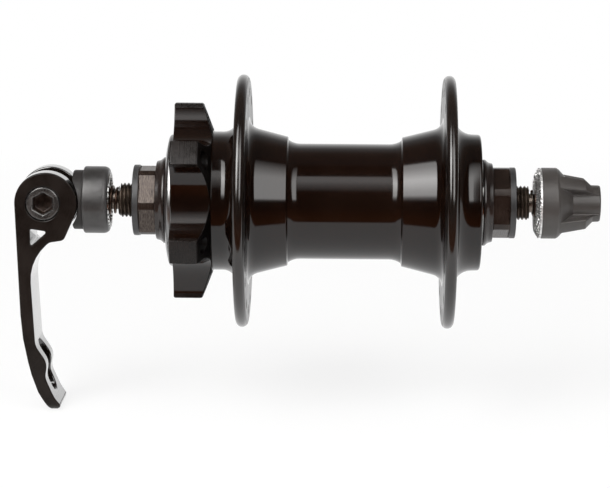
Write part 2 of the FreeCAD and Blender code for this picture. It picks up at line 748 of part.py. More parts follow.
# Lever: a forged arm with two eccentric ears, a window, a finger rise and a slotted paddle
def make_lever():
    body = new_body("lever")
    half = lever_width / 2
    ear_slot_floor = pivot_dia / 2 + ear_slot_under_pivot
    ears = new_sketch(body, "XZ_Plane", "ears")
    draw_circle(ears, cam_throw, 0, ear_radius)
    ears_pad = body.newObject("PartDesign::Pad", "ears_pad")
    ears_pad.Profile = ears
    ears_pad.setExpression("Length", lever_width.formula)
    ears_pad.Midplane = True
    body.Tip = ears_pad
    arm = new_sketch(body, "XZ_Plane", "arm")
    lobe_across = cam_throw + ear_radius * cosine(lobe_start_angle)
    lobe_up = -ear_radius * sine(lobe_start_angle)
    arm_tip = -arm_length
    draw_outline(arm, [
        corner(cam_throw - ear_radius, 0),
        corner(-arm_bend_outer, arm_tip + arm_bend_rise, arm_sweep),
        corner(-arm_knee_outer, arm_tip + arm_knee_rise, 5.5 * arm_knee_rise),
        corner(arm_tip_outer, arm_tip, tip_round),
        corner(arm_tip_inner, arm_tip + arm_tip_rise, 0.3 * tip_round),
        corner(arm_flare, arm_tip + arm_flare_rise, arm_flare_round),
        corner(finger_low, arm_tip + finger_low_rise, finger_round),
        corner(finger_top, arm_tip + finger_top_rise, finger_round),
        corner(-arm_bend_inner, arm_tip + finger_start_rise, finger_round),
        corner(-arm_waist, -arm_waist_drop, arm_waist_round),
        corner(arm_root, -ear_radius - arm_root_below_ear, arm_root_round),
        corner(lobe_reach, -ear_radius - lobe_below_ear, lobe_round),
        corner(lobe_across, lobe_up),
    ])
    arm_pad = body.newObject("PartDesign::Pad", "arm_pad")
    arm_pad.Profile = arm
    arm_pad.setExpression("Length", lever_width.formula)
    arm_pad.Midplane = True
    body.Tip = arm_pad

    bore = new_sketch(body, "XZ_Plane", "pivot_bore")
    draw_circle(bore, 0, 0, pivot_dia / 2 + race_gap)
    pocket(body, bore, "pivot_bore_cut", 2 * lever_width, both=True)

    window = new_sketch(body, "XZ_Plane", "window")
    window_top = ear_slot_floor + window_web
    draw_outline(window, [
        corner(-window_outer, -window_top, window_round),
        corner(-window_outer, -window_top - window_height, window_round),
        corner(-window_outer + window_width, -window_top - 0.15 * window_height, window_round),
    ])
    pocket(body, window, "window_cut", 2 * lever_width, both=True)

    slot = new_sketch(body, "YZ_Plane", "ear_slot")
    draw_outline(slot, [
        corner(-ear_slot / 2, -ear_slot_floor, ear_slot_round),
        corner(ear_slot / 2, -ear_slot_floor, ear_slot_round),
        corner(ear_slot / 2, 2 * ear_radius),
        corner(-ear_slot / 2, 2 * ear_radius),
    ])
    pocket(body, slot, "ear_slot_cut", 6 * ear_radius, both=True)

    paddle = new_sketch(body, "YZ_Plane", "paddle_slot")
    slot_half = paddle_slot_width / 2
    slot_top = arm_tip + paddle_slot_rise + paddle_slot_length / 2
    slot_low = slot_top - paddle_slot_length
    draw_outline(paddle, [
        corner(-slot_half, slot_low, 0.9 * slot_half),
        corner(slot_half, slot_low, 0.9 * slot_half),
        corner(slot_half, slot_top, 0.9 * slot_half),
        corner(-slot_half, slot_top, 0.9 * slot_half),
    ])
    pocket(body, paddle, "paddle_slot_cut", 6 * ear_radius, both=True)

    tip = new_sketch(body, "YZ_Plane", "paddle_tip")
    draw_outline(tip, [
        corner(-half, arm_tip, paddle_corner),
        corner(half, arm_tip, paddle_corner),
        corner(half, 2 * ear_radius),
        corner(-half, 2 * ear_radius),
    ])
    beyond = half + arm_tip_inner
    draw_outline(tip, [
        corner(-beyond, arm_tip - beyond),
        corner(beyond, arm_tip - beyond),
        corner(beyond, 2 * ear_radius + half),
        corner(-beyond, 2 * ear_radius + half),
    ])
    pocket(body, tip, "paddle_tip_cut", 6 * ear_radius, both=True)
    body.setExpression("Placement.Base.x", (-pivot_place).formula)


# Cap and cam washer: the cap clamps the fork end, the washer takes the cam in its hollow back
def make_cap():
    turned_body("lever_cap", [
        corner(cap_face, grip_ring_radius),
        corner(cap_face, cap_dia / 2, cap_round),
        corner(cap_back - cap_chamfer, cap_dia / 2),
        corner(cap_back, cap_dia / 2 - cap_chamfer),
        corner(cap_back, rod_bore),
        corner(cap_face + spring_pocket_depth, rod_bore),
        corner(cap_face + spring_pocket_depth, spring_pocket),
        corner(cap_face + grip_ring_seat, spring_pocket),
        corner(cap_face + grip_ring_seat, grip_ring_radius),
    ], right=False)

    washer = new_body("cam_washer")
    radius = cam_washer_dia / 2
    turn_outline(washer, [
        corner(cap_back, rod_bore),
        corner(cam_washer_back, rod_bore),
        corner(cam_washer_back, radius - cap_chamfer),
        corner(cam_washer_back - cap_chamfer, radius),
        corner(cap_back, radius),
    ], "cam_washer")
    seat = new_sketch(washer, "XZ_Plane", "cam_seat")
    draw_circle(seat, cam_floor + cam_seat_radius, 0, cam_seat_radius)
    pocket(washer, seat, "cam_seat_cut", 2 * cam_washer_dia, both=True)
    place(washer, False)


# Gripping rings: steel rings with radial teeth that bite the fork ends
def cut_teeth(body, name, face, count):
    teeth = new_sketch(body, "XY_Plane", f"{name}_tooth")
    half = grip_tooth_depth
    draw_outline(teeth, [
        corner(face + grip_tooth_depth, 0),
        corner(face - grip_tooth_depth / 2, 1.5 * half),
        corner(face - grip_tooth_depth / 2, -1.5 * half),
    ])
    tooth = pocket(body, teeth, f"{name}_tooth_cut", nut_flange_dia, reverse=True)
    around_axle(body, tooth, count, f"{name}_teeth")


def make_grip_rings():
    body = new_body("cap_grip_ring")
    face = cap_face - grip_ring_proud
    corners = ring_corners(face, cap_face + grip_ring_seat, spring_pocket,
                           grip_ring_radius - seat_gap)
    turn_outline(body, corners, "cap_grip_ring")
    cut_teeth(body, "cap_grip_ring", face, grip_teeth)
    place(body, False)

    body = new_body("nut_grip_ring")
    face = nut_face - nut_ring_dish
    spigot = spring_pocket + nut_ring_wall
    ring_radius = nut_flange_dia / 2 - nut_ring_inset
    turn_outline(body, [
        corner(face, spring_pocket),
        corner(nut_face + nut_ring_spigot, spring_pocket),
        corner(nut_face + nut_ring_spigot, spigot),
        corner(nut_face, spigot),
        corner(nut_face, ring_radius),
        corner(nut_face - nut_ring_dish / 4, ring_radius),
        corner(face, spring_pocket + nut_ring_face),
    ], "nut_grip_ring")
    cut_teeth(body, "nut_grip_ring", face, grip_teeth)
    place(body, True)


# Adjusting nut: a moulded cap with a round flange, four finger ribs and hollows between them
def make_nut():
    body = new_body("skewer_nut")
    spigot = spring_pocket + nut_ring_wall + seat_gap
    flange_end = nut_face + nut_flange_width
    insert_start = nut_face + nut_recess_depth
    insert_radius = rod_dia / 2 + insert_wall
    insert_seat = insert_radius + seat_gap
    bore_end = nut_end - nut_end_wall
    turn_outline(body, [
        corner(nut_face, spigot),
        corner(nut_face, nut_flange_dia / 2),
        corner(flange_end - nut_flange_round, nut_flange_dia / 2),
        corner(flange_end, nut_shoulder_dia / 2),
        corner(nut_end - nut_rib_end_inset, nut_rib_end_dia / 2),
        corner(nut_end - nut_nose_inset, nut_nose_dia / 2),
        corner(nut_end, nut_end_dia / 2, nut_end_round),
        corner(nut_end, 0),
        corner(bore_end, 0),
        corner(bore_end, rod_bore),
        corner(insert_start + insert_length, rod_bore),
        corner(insert_start + insert_length, insert_seat),
        corner(insert_start, insert_seat),
        corner(insert_start, spring_pocket),
        corner(nut_face + nut_ring_spigot, spring_pocket),
        corner(nut_face + nut_ring_spigot, spigot),
    ], "skewer_nut")

    hollow = new_sketch(body, "XZ_Plane", "nut_hollow")
    core = nut_core_dia / 2
    shoulder = nut_shoulder_dia / 2
    draw_outline(hollow, [
        corner(flange_end, shoulder),
        corner(flange_end + nut_ramp_length, core),
        corner(nut_end + nut_end_round, nut_end_dia / 2),
        corner(nut_end + nut_end_round, nut_flange_dia),
        corner(flange_end, nut_flange_dia),
    ])
    groove = body.newObject("PartDesign::Groove", "nut_hollow_cut")
    groove.Profile = hollow
    groove.ReferenceAxis = (hollow, ["H_Axis"])
    groove.Midplane = True
    hollow_angle = 360 / nut_rib_count - nut_rib_angle
    groove.Angle = hollow_angle.value
    groove.setExpression("Angle", hollow_angle.formula)
    body.Tip = groove
    around_axle(body, groove, nut_rib_count, "nut_hollows")
    place(body, True, nut_turn)

    insert = ring_corners(insert_start, insert_start + insert_length, rod_dia / 2 + seat_gap,
                          insert_radius)
    turned_body("nut_threaded_insert", insert)


# Conical spring: one unbroken wire that narrows at a steady rate, with closed ends
def spring_point(turns_done, start, length, small, large, turns):
    angle = 2 * math.pi * turns_done
    share = turns_done / turns
    radius = small + (large - small) * share
    along = start + length * share
    return Vector(along, radius * math.sin(angle), radius * math.cos(angle))


def spring_heading(turns_done, start, length, small, large, turns):
    step = 1e-4
    before = spring_point(turns_done - step, start, length, small, large, turns)
    after = spring_point(turns_done + step, start, length, small, large, turns)
    return (after - before).normalize()


def biarc(start, start_way, end, end_way):
    """Two arcs from start to end that leave and arrive along the given headings."""
    chord = end - start
    ways = start_way + end_way
    spread = 2 * (1 - start_way.dot(end_way))
    turn = chord.dot(ways)
    reach = (-turn + math.sqrt(turn ** 2 + spread * chord.dot(chord))) / spread
    joint = (start + end + (start_way - end_way) * reach) / 2
    arcs = []
    for near, way, far in ((start, start_way, joint), (end, end_way * -1, joint)):
        line = far - near
        side = (line - way * line.dot(way)).normalize()
        radius = line.dot(line) / (2 * line.dot(side))
        centre = near + side * radius
        half = math.acos(max(-1, min(1, (near - centre).dot(far - centre) / radius ** 2))) / 2
        middle = centre + ((near - centre) + (far - centre)).normalize() * radius
        arcs.append((near, middle, far, half))
    first = Part.Arc(arcs[0][0], arcs[0][1], arcs[0][2]).toShape()
    second = Part.Arc(arcs[1][2], arcs[1][1], arcs[1][0]).toShape()
    return [first, second]


def make_spring(name, start, length, right):
    wire_radius = spring_wire.value / 2
    turns = spring_turns.value
    numbers = (start.value, length.value, spring_radius_small.value, spring_radius_large.value, turns)
    edges = []
    quarters = int(round(turns * 4))
    for quarter in range(quarters):
        near = quarter * turns / quarters
        far = (quarter + 1) * turns / quarters
        edges += biarc(spring_point(near, *numbers), spring_heading(near, *numbers),
                       spring_point(far, *numbers), spring_heading(far, *numbers))
    path = Part.Wire(edges)
    heading = spring_heading(0, *numbers)
    ring = Part.Wire([Part.Circle(spring_point(0, *numbers), heading, wire_radius).toShape()])
    tube = path.makePipeShell([ring], True, False)
    gap = least_gap(numbers, turns) - spring_wire.value
    print(name, "least gap between turns", round(gap, 3), "mm")
    spring = doc.addObject("Part::Feature", name)
    spring.Label = name
    spring.Shape = tube
    place(spring, right)
    bodies.append(spring)


def least_gap(numbers, turns):
    """The least distance between the wire's middle line and its next turn."""
    steps = 36
    total = int(turns * steps)
    points = [spring_point(index / steps, *numbers) for index in range(total + 1)]
    least = 1e9
    for index in range(total + 1 - steps // 2):
        for other in range(index + steps // 2, min(index + 2 * steps, total + 1)):
            least = min(least, (points[index] - points[other]).Length)
    return least


def make_springs():
    lift = spring_wire / 2 + seat_gap
    left_floor = cap_face + spring_pocket_depth
    right_floor = nut_face + nut_recess_depth
    make_spring("left_spring", axle_end + lift, left_floor - axle_end - 2 * lift, False)
    make_spring("right_spring", axle_end + lift, right_floor - axle_end - 2 * lift, True)


make_hub_shell()
make_axle_set()
make_skewer_rod()
make_pivot_barrel()
make_lever()
make_cap()
make_grip_rings()
make_nut()
make_springs()
doc.recompute()

for item in doc.Objects:
    if "Invalid" in item.State or "Error" in item.State:
        raise RuntimeError(f"{item.Label} failed: {item.State}")
for body in bodies:
    if body.Shape.isNull() or not body.Shape.isValid():
        raise RuntimeError(f"{body.Label} has no valid shape")

os.makedirs("parts", exist_ok=True)
for body in bodies:
    body.Shape.exportStep(f"parts/{body.Label}.step")
    print(body.Label, len(body.Shape.Solids), round(body.Shape.Volume, 1))
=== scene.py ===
from math import atan2, cos, pi, radians, sin, tan

import bpy
from mathutils import Matrix, Vector


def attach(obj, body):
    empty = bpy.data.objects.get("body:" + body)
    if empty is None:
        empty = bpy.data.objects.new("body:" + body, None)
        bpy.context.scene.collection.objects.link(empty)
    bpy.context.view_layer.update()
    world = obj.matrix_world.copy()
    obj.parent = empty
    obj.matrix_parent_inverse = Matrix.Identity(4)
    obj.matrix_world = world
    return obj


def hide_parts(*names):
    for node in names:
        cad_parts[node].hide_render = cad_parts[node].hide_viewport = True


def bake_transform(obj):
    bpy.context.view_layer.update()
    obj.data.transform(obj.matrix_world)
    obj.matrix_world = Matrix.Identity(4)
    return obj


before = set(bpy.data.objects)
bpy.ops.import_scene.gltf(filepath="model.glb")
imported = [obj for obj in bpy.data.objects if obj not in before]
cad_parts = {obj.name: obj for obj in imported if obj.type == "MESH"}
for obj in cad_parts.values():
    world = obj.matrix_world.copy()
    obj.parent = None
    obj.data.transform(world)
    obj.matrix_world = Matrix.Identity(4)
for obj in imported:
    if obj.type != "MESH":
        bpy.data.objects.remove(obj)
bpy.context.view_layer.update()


# Studio. The hub lies on a white table with its axle across the picture. A long lens looks at it
# from a little above the axle. The room's light is even, but gloss mirrors it as dark in front of
# the table and over it, and as white behind.
table_top = -0.0555
bpy.ops.object.select_all(action="DESELECT")
bpy.ops.object.camera_add(location=(0.0082738, -0.6582468, 0.1051622))
camera = bpy.context.object
camera.name = "camera"
turn = Matrix.Rotation(radians(1.1571), 3, "Z") @ Matrix.Rotation(radians(79.9584), 3, "X")
camera.rotation_euler = (turn @ Matrix.Rotation(radians(0.279), 3, "Z")).to_euler()
camera.data.lens = 149.6211
camera.data.sensor_width = 36
camera.data.clip_start = 0.02
bpy.context.scene.camera = camera
bpy.context.scene.view_settings.view_transform = "Standard"


def fill_ramp(ramp, stops):
    """Colours along a ramp, each given as a place and a grey or a colour."""
    for index, (place, value) in enumerate(stops):
        colour = value if isinstance(value, tuple) else (value, value, value)
        if index < 2:
            stop = ramp.color_ramp.elements[index]
            stop.position = place
        else:
            stop = ramp.color_ramp.elements.new(place)
        stop.color = (*colour, 1)


def empty_tree(owner):
    """Nodes and links of a new world or material, without the nodes that it starts with."""
    owner.use_nodes = True
    owner.node_tree.nodes.clear()
    return owner.node_tree.nodes, owner.node_tree.links


def add_math(nodes, links, operation, one, other):
    """One value worked out of two, each of them another node's output or a number."""
    node = nodes.new("ShaderNodeMath")
    node.operation = operation
    for slot, value in enumerate((one, other)):
        if isinstance(value, (int, float)):
            node.inputs[slot].default_value = value
        else:
            links.new(value, node.inputs[slot])
    return node.outputs["Value"]


room = bpy.data.worlds.new("room")
bpy.context.scene.world = room
nodes, links = empty_tree(room)
ray = nodes.new("ShaderNodeLightPath")
way = nodes.new("ShaderNodeTexCoord")
split = nodes.new("ShaderNodeSeparateXYZ")
behind = nodes.new("ShaderNodeMapRange")
behind.inputs["From Min"].default_value = -1
fade = nodes.new("ShaderNodeValToRGB")
fill_ramp(fade, [(0.42, (0.012, 0.008, 0.006)), (0.5, 0.075), (0.65, (0.105, 0.085, 0.075)),
                 (0.75, (0.14, 0.115, 0.1)), (0.875, 0.3), (0.985, 1.0)])
soft = nodes.new("ShaderNodeBackground")
soft.inputs["Color"].default_value = (0.36, 0.36, 0.36, 1)
mirrored = nodes.new("ShaderNodeBackground")
white = nodes.new("ShaderNodeBackground")
white.inputs["Color"].default_value = (1, 1, 1, 1)
mirror_ray = add_math(nodes, links, "MAXIMUM", ray.outputs["Is Glossy Ray"],
                      ray.outputs["Is Transmission Ray"])
shiny = nodes.new("ShaderNodeMixShader")
seen = nodes.new("ShaderNodeMixShader")
out = nodes.new("ShaderNodeOutputWorld")
links.new(way.outputs["Generated"], split.inputs["Vector"])
links.new(split.outputs["Y"], behind.inputs["Value"])
links.new(behind.outputs["Result"], fade.inputs["Fac"])
links.new(fade.outputs["Color"], mirrored.inputs["Color"])
links.new(mirror_ray, shiny.inputs["Fac"])
links.new(soft.outputs["Background"], shiny.inputs[1])
links.new(mirrored.outputs["Background"], shiny.inputs[2])
links.new(ray.outputs["Is Camera Ray"], seen.inputs["Fac"])
links.new(shiny.outputs["Shader"], seen.inputs[1])
links.new(white.outputs["Background"], seen.inputs[2])
links.new(seen.outputs["Shader"], out.inputs["Surface"])

# The table's white paper glows in the picture and in the hub's gloss, fully so far away. Near the
# hub a part of it is lit paper, which keeps the hub's shadow.
bpy.ops.mesh.primitive_plane_add(size=8, location=(0, 0, table_top))
table = bpy.context.object
table.name = "table_top"
bpy.ops.object.transform_apply(location=True, rotation=True, scale=True)
paper = bpy.data.materials.new("white_paper")
nodes, links = empty_tree(paper)
sheet = nodes.new("ShaderNodeBsdfDiffuse")
sheet.inputs["Color"].default_value = (0.88, 0.88, 0.88, 1)
glow = nodes.new("ShaderNodeEmission")
glow.inputs["Color"].default_value = (1, 1, 1, 1)
ray = nodes.new("ShaderNodeLightPath")
place = nodes.new("ShaderNodeTexCoord")
away = nodes.new("ShaderNodeVectorMath")
away.operation = "LENGTH"
white_out = nodes.new("ShaderNodeMapRange")
white_out.inputs["From Min"].default_value = 0.12
white_out.inputs["From Max"].default_value = 0.5
white_out.inputs["To Min"].default_value = 0.82
seen_ray = add_math(nodes, links, "MAXIMUM", ray.outputs["Is Camera Ray"],
                    ray.outputs["Is Glossy Ray"])
seen_ray = add_math(nodes, links, "MAXIMUM", seen_ray, ray.outputs["Is Transmission Ray"])
share = add_math(nodes, links, "MULTIPLY", seen_ray, white_out.outputs["Result"])
both = nodes.new("ShaderNodeMixShader")
out = nodes.new("ShaderNodeOutputMaterial")
links.new(place.outputs["Object"], away.inputs[0])
links.new(away.outputs["Value"], white_out.inputs["Value"])
links.new(share, both.inputs["Fac"])
links.new(sheet.outputs["BSDF"], both.inputs[1])
links.new(glow.outputs["Emission"], both.inputs[2])
links.new(both.outputs["Shader"], out.inputs["Surface"])
table.data.materials.append(paper)

# The dark room's wooden floor begins at the table's front edge and fades away from it. Only
# mirrored rays see it.
front_edge = -0.095
floor_depth = 4
floor_middle = front_edge - floor_depth / 2
bpy.ops.mesh.primitive_plane_add(size=1, location=(0, floor_middle, table_top + 0.0002))
dark_floor = bpy.context.object
dark_floor.name = "dark_floor"
dark_floor.scale = (8, floor_depth, 1)
bpy.ops.object.transform_apply(location=True, rotation=True, scale=True)
dark_wood = bpy.data.materials.new("dark_wood")
nodes, links = empty_tree(dark_wood)
place = nodes.new("ShaderNodeTexCoord")
split = nodes.new("ShaderNodeSeparateXYZ")
front = nodes.new("ShaderNodeMapRange")
front.inputs["From Min"].default_value = front_edge
front.inputs["From Max"].default_value = -0.5
wood = nodes.new("ShaderNodeValToRGB")
fill_ramp(wood, [(0, (0.2, 0.055, 0.014)), (0.3, (0.11, 0.03, 0.01)), (1, (0.02, 0.008, 0.005))])
glow = nodes.new("ShaderNodeEmission")
out = nodes.new("ShaderNodeOutputMaterial")
links.new(place.outputs["Object"], split.inputs["Vector"])
links.new(split.outputs["Y"], front.inputs["Value"])
links.new(front.outputs["Result"], wood.inputs["Fac"])
links.new(wood.outputs["Color"], glow.inputs["Color"])
links.new(glow.outputs["Emission"], out.inputs["Surface"])
dark_floor.data.materials.append(dark_wood)
dark_floor.visible_camera = False
dark_floor.visible_diffuse = False
dark_floor.visible_transmission = False
dark_floor.visible_shadow = False


# Soft boxes: a bright one on the left of the lens, a weaker one on its right and a faint strip
# between them, each a lit cloth that leans over the hub and is uneven from its foot to its head.
def add_soft_box(name, foot, head, wide, strength, levels):
    """A lit cloth between the middles of its foot and head, with its brightness on the way up."""
    bpy.ops.object.select_all(action="DESELECT")
    bpy.ops.mesh.primitive_plane_add(size=1)
    cloth = bpy.context.object
    cloth.name = name
    bpy.ops.object.mode_set(mode="EDIT")
    bpy.ops.mesh.subdivide(number_cuts=1)
    bpy.ops.object.mode_set(mode="OBJECT")
    foot = Vector(foot)
    head = Vector(head)
    across = Vector((wide, 0, 0))
    frame_turn = Matrix((across, head - foot, across.cross(head - foot))).transposed().to_4x4()
    cloth.data.transform(Matrix.Translation((foot + head) / 2) @ frame_turn)
    lit = bpy.data.materials.new(name + "_cloth")
    nodes, links = empty_tree(lit)
    place = nodes.new("ShaderNodeTexCoord")
    parts = nodes.new("ShaderNodeSeparateXYZ")
    links.new(place.outputs["UV"], parts.inputs["Vector"])
    rise = nodes.new("ShaderNodeValToRGB")
    fill_ramp(rise, levels)
    links.new(parts.outputs["Y"], rise.inputs["Fac"])
    hem = nodes.new("ShaderNodeValToRGB")
    fill_ramp(hem, [(0, 0), (0.04, 1), (0.96, 1), (1, 0)])
    links.new(parts.outputs["X"], hem.inputs["Fac"])
    evenness = add_math(nodes, links, "MULTIPLY", rise.outputs["Color"], hem.outputs["Color"])
    glow = nodes.new("ShaderNodeEmission")
    glow.inputs["Color"].default_value = (1, 0.99, 0.98, 1)
    links.new(add_math(nodes, links, "MULTIPLY", evenness, strength), glow.inputs["Strength"])
    out = nodes.new("ShaderNodeOutputMaterial")
    links.new(glow.outputs["Emission"], out.inputs["Surface"])
    cloth.data.materials.append(lit)
    cloth.visible_camera = False
    cloth.visible_shadow = False


add_soft_box("left_soft_box", (-0.44, -0.88, 0.17), (-0.34, -0.16, 0.93), 0.46, 10.5, [
    (0, 0), (0.06, 0.1), (0.1, 0.2), (0.16, 0.58), (0.25, 0.62), (0.35, 0.78), (0.45, 0.93),
    (0.52, 1), (0.62, 0.78), (0.7, 0.63), (0.82, 0.43), (0.95, 0.38), (1, 0)])
add_soft_box("right_soft_box", (0.44, -0.9, 0.12), (0.34, -0.16, 0.93), 0.46, 4.2, [
    (0, 0), (0.02, 0.05), (0.045, 0.14), (0.065, 0.4), (0.08, 1), (0.578, 1), (0.672, 0.74),
    (0.765, 0.5), (0.878, 0.24), (1, 0.04)])
add_soft_box("middle_strip", (0, -0.927, 0.493), (0, -0.509, 0.918), 0.37, 1.8, [
    (0, 0), (0.12, 0.17), (0.39, 0.53), (0.64, 1), (0.91, 1), (0.97, 0)])


# Hub shell: one bar of aluminium, turned all over, with six lugs milled for the brake rotor and
# spoke holes drilled through both flanges, then anodised a warm glossy black.
def rounded(corners):
    """Points of a closed outline, given in millimetres, with its roundings drawn as short arcs. Two
    roundings that are too large for the side between them share it in proportion."""
    spots = [Vector(corner[:2]) for corner in corners]
    most_of_side = 0.97
    arc_step = radians(11)
    sides = []
    for index, spot in enumerate(spots):
        rounding = corners[index][2] if len(corners[index]) > 2 else 0
        before = spots[index - 1] - spot
        after = spots[(index + 1) % len(spots)] - spot
        half = before.angle(after) / 2 if rounding else pi / 2
        straight = half > radians(88.8)
        sides.append((before, after, half, 0 if straight else rounding / tan(half)))
    points = []
    for index, (before, after, half, wanted) in enumerate(sides):
        spot = spots[index]
        if not wanted:
            points.append(spot)
            continue
        wanted_before = sides[index - 1][3]
        wanted_after = sides[(index + 1) % len(sides)][3]
        reach = min(wanted, most_of_side * before.length * wanted / (wanted + wanted_before),
                    most_of_side * after.length * wanted / (wanted + wanted_after))
        radius = reach * tan(half)
        before = before.normalized()
        after = after.normalized()
        centre = spot + (before + after).normalized() * (radius / sin(half))
        arm = spot + before * reach - centre
        swing = pi - 2 * half
        if arm.cross(spot + after * reach - centre) < 0:
            swing = -swing
        steps = max(2, round(abs(swing) / arc_step))
        for step in range(steps + 1):
            points.append(centre + Matrix.Rotation(swing * step / steps, 2) @ arm)
    return points


def draw_line(name, points):
    """A new piece that starts as one point and is drawn out along an outline in X and Z. It is left
    in edit mode."""
    bpy.ops.object.select_all(action="DESELECT")
    bpy.ops.mesh.primitive_plane_add(size=1)
    piece = bpy.context.object
    piece.name = name
    bpy.ops.object.mode_set(mode="EDIT")
    bpy.ops.mesh.merge(type="CENTER")
    bpy.ops.transform.translate(value=(points[0][0] / 1000, 0, points[0][1] / 1000))
    for start, end in zip(points, points[1:]):
        step = (end - start) / 1000
        bpy.ops.mesh.extrude_vertices_move(TRANSFORM_OT_translate={"value": (step.x, 0, step.y)})
    return piece


def turn_piece(name, corners, steps, sweep=2 * pi):
    """Turn a closed outline about the axle's line, as on a lathe, in a number of steps."""
    points = rounded(corners)
    piece = draw_line(name, points + points[:1])
    bpy.ops.mesh.select_all(action="SELECT")
    if sweep < 2 * pi:
        bpy.ops.mesh.remove_doubles(threshold=0.0000005)
        bpy.ops.mesh.edge_face_add()
    bpy.ops.mesh.spin(steps=steps, angle=sweep, center=(0, 0, 0), axis=(1, 0, 0))
    bpy.ops.mesh.select_all(action="SELECT")
    bpy.ops.mesh.remove_doubles(threshold=0.0000005)
    bpy.ops.mesh.normals_make_consistent(inside=False)
    bpy.ops.object.mode_set(mode="OBJECT")
    bpy.ops.object.shade_smooth_by_angle(angle=radians(28))
    return piece


def add_rod(name, start, end, radius, around=32, taper=1.0):
    """A round bar between two places in millimetres, drawn out of a disc so that it can taper."""
    start = Vector(start) / 1000
    end = Vector(end) / 1000
    bpy.ops.object.select_all(action="DESELECT")
    bpy.ops.mesh.primitive_circle_add(vertices=around, radius=radius / 1000, fill_type="NGON")
    piece = bpy.context.object
    piece.name = name
    bpy.ops.object.mode_set(mode="EDIT")
    bpy.ops.mesh.select_all(action="SELECT")
    bpy.ops.mesh.extrude_region_move(TRANSFORM_OT_translate={"value": (0, 0, (end - start).length)})
    bpy.ops.transform.resize(value=(taper, taper, 1))
    bpy.ops.mesh.select_all(action="SELECT")
    bpy.ops.mesh.normals_make_consistent(inside=False)
    bpy.ops.object.mode_set(mode="OBJECT")
    turn = (end - start).to_track_quat("Z", "Y").to_matrix().to_4x4()
    piece.data.transform(Matrix.Translation(start) @ turn)
    return piece


def join_pieces(pieces):
    """One piece made of several, under the first one's name."""
    bpy.ops.object.select_all(action="DESELECT")
    for piece in pieces:
        piece.select_set(True)
    bpy.context.view_layer.objects.active = pieces[0]
    bpy.ops.object.join()
    return bpy.context.object


def repeat_round(piece, count, first=0.0):
    """Copies of a piece spaced evenly round the axle, joined in one."""
    copies = []
    for index in range(count):
        copy = piece.copy()
        copy.data = piece.data.copy()
        bpy.context.scene.collection.objects.link(copy)
        copy.data.transform(Matrix.Rotation(first + 2 * pi * index / count, 4, "X"))
        copies.append(copy)
    bpy.data.objects.remove(piece)
    return join_pieces(copies)


def pick(piece):
    """Select one piece alone, for the operators that follow."""
    bpy.ops.object.select_all(action="DESELECT")
    piece.select_set(True)
    bpy.context.view_layer.objects.active = piece


def cut_with(piece, tool, keep_common=False):
    """Mill one piece with another, which is used up."""
    cut = piece.modifiers.new("cut", "BOOLEAN")
    cut.operation = "INTERSECT" if keep_common else "DIFFERENCE"
    cut.solver = "EXACT"
    cut.object = tool
    pick(piece)
    bpy.ops.object.modifier_apply(modifier=cut.name)
    bpy.data.objects.remove(tool)


def break_edges(piece, width, limit=32, steps=2):
    """Take the sharpness off a piece's edges that turn by more than a limit, given in degrees."""
    pick(piece)
    bpy.ops.object.mode_set(mode="EDIT")
    bpy.ops.mesh.select_all(action="SELECT")
    bpy.ops.mesh.remove_doubles(threshold=0.000004)
    bpy.ops.mesh.dissolve_limited(angle_limit=radians(0.3))
    bpy.ops.object.mode_set(mode="OBJECT")
    edge = piece.modifiers.new("edge", "BEVEL")
    edge.width = width / 1000
    edge.segments = steps
    edge.limit_method = "ANGLE"
    edge.angle_limit = radians(limit)
    edge.use_clamp_overlap = False
    bpy.ops.object.modifier_apply(modifier=edge.name)
    bpy.ops.object.shade_smooth_by_angle(angle=radians(40))
    even = piece.modifiers.new("even", "WEIGHTED_NORMAL")
    even.keep_sharp = True
    bpy.ops.object.modifier_apply(modifier=even.name)


def from_axle(piece, face):
    """How far a face lies from the axle's line, as the mean of its corners."""
    spots = [piece.data.vertices[index].co for index in face.vertices]
    return sum(Vector((spot.y, spot.z)).length for spot in spots) / len(spots)


